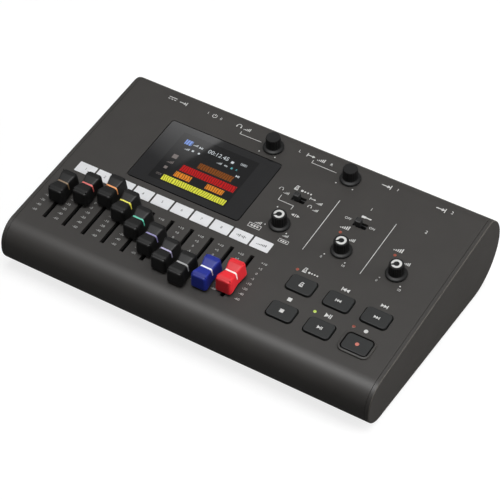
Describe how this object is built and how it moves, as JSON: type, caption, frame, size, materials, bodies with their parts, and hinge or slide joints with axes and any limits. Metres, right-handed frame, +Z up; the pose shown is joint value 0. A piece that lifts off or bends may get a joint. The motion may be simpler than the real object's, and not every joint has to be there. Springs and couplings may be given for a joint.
{
  "type": "digital multitrack recorder",
  "caption": "Wedge-shaped desk-top digital multitrack recorder with sliding faders, rotary knobs, push buttons, a colour display window and rear audio sockets.",
  "frame": {"origin": "on the standing surface, under the middle of the case's box", "axes": "+X to the right along the fader bank, +Y to the rear, +Z up; metres"},
  "size_m": [0.278, 0.1789, 0.0685],
  "materials": {
    "case_plastic": "fine moulded grain",
    "cheek_plastic": "fine moulded grain",
    "base_plastic": "moulded grain",
    "rear_plate": "satin",
    "foot_rubber": "matte",
    "steel": "zinc plated",
    "cell_sleeve": "printed sleeve",
    "window_lens": "polished",
    "display": "polished",
    "label_white": "satin",
    "socket_plastic": "satin",
    "lamp_lens": "clear",
    "circuit_board": "solder mask",
    "card_plastic": "satin",
    "knob_plastic": "satin",
    "button_plastic": "matte",
    "slider_plastic": "satin",
    "cap_black": "satin",
    "cap_blue": "satin",
    "cap_red": "satin"
  },
  "bodies": {
    "case": {"top_shell": "case_plastic", "bottom_shell": "base_plastic", "left_cheek": "cheek_plastic", "right_cheek": "cheek_plastic", "rear_panel": "rear_plate", "feet": "foot_rubber", "screws": "steel", "battery_cells": "cell_sleeve", "battery_contacts": "steel", "screen_window": "window_lens", "display_module": "display", "label_strip": "label_white", "fader_frames": "steel", "pot_bodies": "socket_plastic", "tact_switches": "socket_plastic", "switch_bodies": "socket_plastic", "status_lamps": "lamp_lens", "panel_board": "circuit_board", "main_board": "circuit_board", "combo_sockets": "socket_plastic", "jack_sockets": "socket_plastic", "usb_socket": "steel", "card_socket": "steel"},
    "fader_1": {"fader_lever_1": "steel", "fader_cap_1": "cap_black"},
    "fader_2": {"fader_lever_2": "steel", "fader_cap_2": "cap_black"},
    "fader_3": {"fader_lever_3": "steel", "fader_cap_3": "cap_black"},
    "fader_4": {"fader_lever_4": "steel", "fader_cap_4": "cap_black"},
    "fader_5": {"fader_lever_5": "steel", "fader_cap_5": "cap_black"},
    "fader_6": {"fader_lever_6": "steel", "fader_cap_6": "cap_black"},
    "fader_7": {"fader_lever_7": "steel", "fader_cap_7": "cap_black"},
    "fader_8": {"fader_lever_8": "steel", "fader_cap_8": "cap_black"},
    "fader_9": {"fader_lever_9": "steel", "fader_cap_9": "cap_blue"},
    "fader_10": {"fader_lever_10": "steel", "fader_cap_10": "cap_red"},
    "phones_knob": {"phones_knob": "knob_plastic"},
    "output_knob": {"output_knob": "knob_plastic"},
    "balance_knob": {"balance_knob": "knob_plastic"},
    "gain_knob_1": {"gain_knob_1": "knob_plastic"},
    "gain_knob_2": {"gain_knob_2": "knob_plastic"},
    "stop_button": {"stop_button": "button_plastic"},
    "play_button": {"play_button": "button_plastic"},
    "record_button": {"record_button": "button_plastic"},
    "metronome_button": {"metronome_button": "button_plastic"},
    "rewind_button": {"rewind_button": "button_plastic"},
    "forward_button": {"forward_button": "button_plastic"},
    "click_slider": {"click_slider": "slider_plastic"},
    "input_slider": {"input_slider": "slider_plastic"},
    "power_slider": {"power_slider": "slider_plastic"},
    "battery_door": {"battery_door": "base_plastic"},
    "memory_card": {"memory_card": "card_plastic"}
  },
  "joints": [
    {"name": "fader_1_slide", "type": "slide", "parent": "case", "child": "fader_1", "axis": [0, 0.9885, 0.1513], "range_m": [-0.02205, 0.01295]},
    {"name": "fader_2_slide", "type": "slide", "parent": "case", "child": "fader_2", "axis": [0, 0.9885, 0.1513], "range_m": [-0.02835, 0.00665]},
    {"name": "fader_3_slide", "type": "slide", "parent": "case", "child": "fader_3", "axis": [0, 0.9885, 0.1513], "range_m": [-0.0343, 0.0007]},
    {"name": "fader_4_slide", "type": "slide", "parent": "case", "child": "fader_4", "axis": [0, 0.9885, 0.1513], "range_m": [-0.02765, 0.00735]},
    {"name": "fader_5_slide", "type": "slide", "parent": "case", "child": "fader_5", "axis": [0, 0.9885, 0.1513], "range_m": [-0.0196, 0.0154]},
    {"name": "fader_6_slide", "type": "slide", "parent": "case", "child": "fader_6", "axis": [0, 0.9885, 0.1513], "range_m": [-0.0119, 0.0231]},
    {"name": "fader_7_slide", "type": "slide", "parent": "case", "child": "fader_7", "axis": [0, 0.9885, 0.1513], "range_m": [-0.0056, 0.0294]},
    {"name": "fader_8_slide", "type": "slide", "parent": "case", "child": "fader_8", "axis": [0, 0.9885, 0.1513], "range_m": [-0.00105, 0.03395]},
    {"name": "fader_9_slide", "type": "slide", "parent": "case", "child": "fader_9", "axis": [0, 0.9885, 0.1513], "range_m": [-0.0056, 0.0294]},
    {"name": "fader_10_slide", "type": "slide", "parent": "case", "child": "fader_10", "axis": [0, 0.9885, 0.1513], "range_m": [-0.0105, 0.0245]},
    {"name": "phones_knob_turn", "type": "hinge", "parent": "case", "child": "phones_knob", "pos_m": [-0.0198, 0.05968, 0.05772], "axis": [0, -0.1513, 0.9885], "range_deg": [-150, 150]},
    {"name": "output_knob_turn", "type": "hinge", "parent": "case", "child": "output_knob", "pos_m": [0.0397, 0.05968, 0.05772], "axis": [0, -0.1513, 0.9885], "range_deg": [-150, 150]},
    {"name": "balance_knob_turn", "type": "hinge", "parent": "case", "child": "balance_knob", "pos_m": [0.0192, 0.00255, 0.04898], "axis": [0, -0.1513, 0.9885], "range_deg": [-285, 0]},
    {"name": "gain_knob_1_turn", "type": "hinge", "parent": "case", "child": "gain_knob_1", "pos_m": [0.0656, 0.00255, 0.04898], "axis": [0, -0.1513, 0.9885], "range_deg": [-285, 0]},
    {"name": "gain_knob_2_turn", "type": "hinge", "parent": "case", "child": "gain_knob_2", "pos_m": [0.1058, 0.00255, 0.04898], "axis": [0, -0.1513, 0.9885], "range_deg": [-285, 0]},
    {"name": "stop_button_press", "type": "slide", "parent": "case", "child": "stop_button", "axis": [0, 0.1513, -0.9885], "range_m": [0, 0.0007], "stiffness_N_per_m": 1200, "springref_m": -0.0003},
    {"name": "play_button_press", "type": "slide", "parent": "case", "child": "play_button", "axis": [0, 0.1513, -0.9885], "range_m": [0, 0.0007], "stiffness_N_per_m": 1200, "springref_m": -0.0003},
    {"name": "record_button_press", "type": "slide", "parent": "case", "child": "record_button", "axis": [0, 0.1513, -0.9885], "range_m": [0, 0.0007], "stiffness_N_per_m": 1200, "springref_m": -0.0003},
    {"name": "metronome_button_press", "type": "slide", "parent": "case", "child": "metronome_button", "axis": [0, 0.1513, -0.9885], "range_m": [0, 0.0007], "stiffness_N_per_m": 1200, "springref_m": -0.0003},
    {"name": "rewind_button_press", "type": "slide", "parent": "case", "child": "rewind_button", "axis": [0, 0.1513, -0.9885], "range_m": [0, 0.0007], "stiffness_N_per_m": 1200, "springref_m": -0.0003},
    {"name": "forward_button_press", "type": "slide", "parent": "case", "child": "forward_button", "axis": [0, 0.1513, -0.9885], "range_m": [0, 0.0007], "stiffness_N_per_m": 1200, "springref_m": -0.0003},
    {"name": "click_slider_slide", "type": "slide", "parent": "case", "child": "click_slider", "axis": [1, 0, 0], "range_m": [0, 0.003]},
    {"name": "input_slider_slide", "type": "slide", "parent": "case", "child": "input_slider", "axis": [1, 0, 0], "range_m": [0, 0.003]},
    {"name": "power_slider_slide", "type": "slide", "parent": "case", "child": "power_slider", "axis": [1, 0, 0], "range_m": [0, 0.003]},
    {"name": "battery_door_hinge", "type": "hinge", "parent": "case", "child": "battery_door", "pos_m": [0, -0.00598, 0.0037], "axis": [1, 0, 0], "range_deg": [0, 85]},
    {"name": "memory_card_slide", "type": "slide", "parent": "case", "child": "memory_card", "axis": [-1, 0, 0], "range_m": [0, 0.022]}
  ]
}
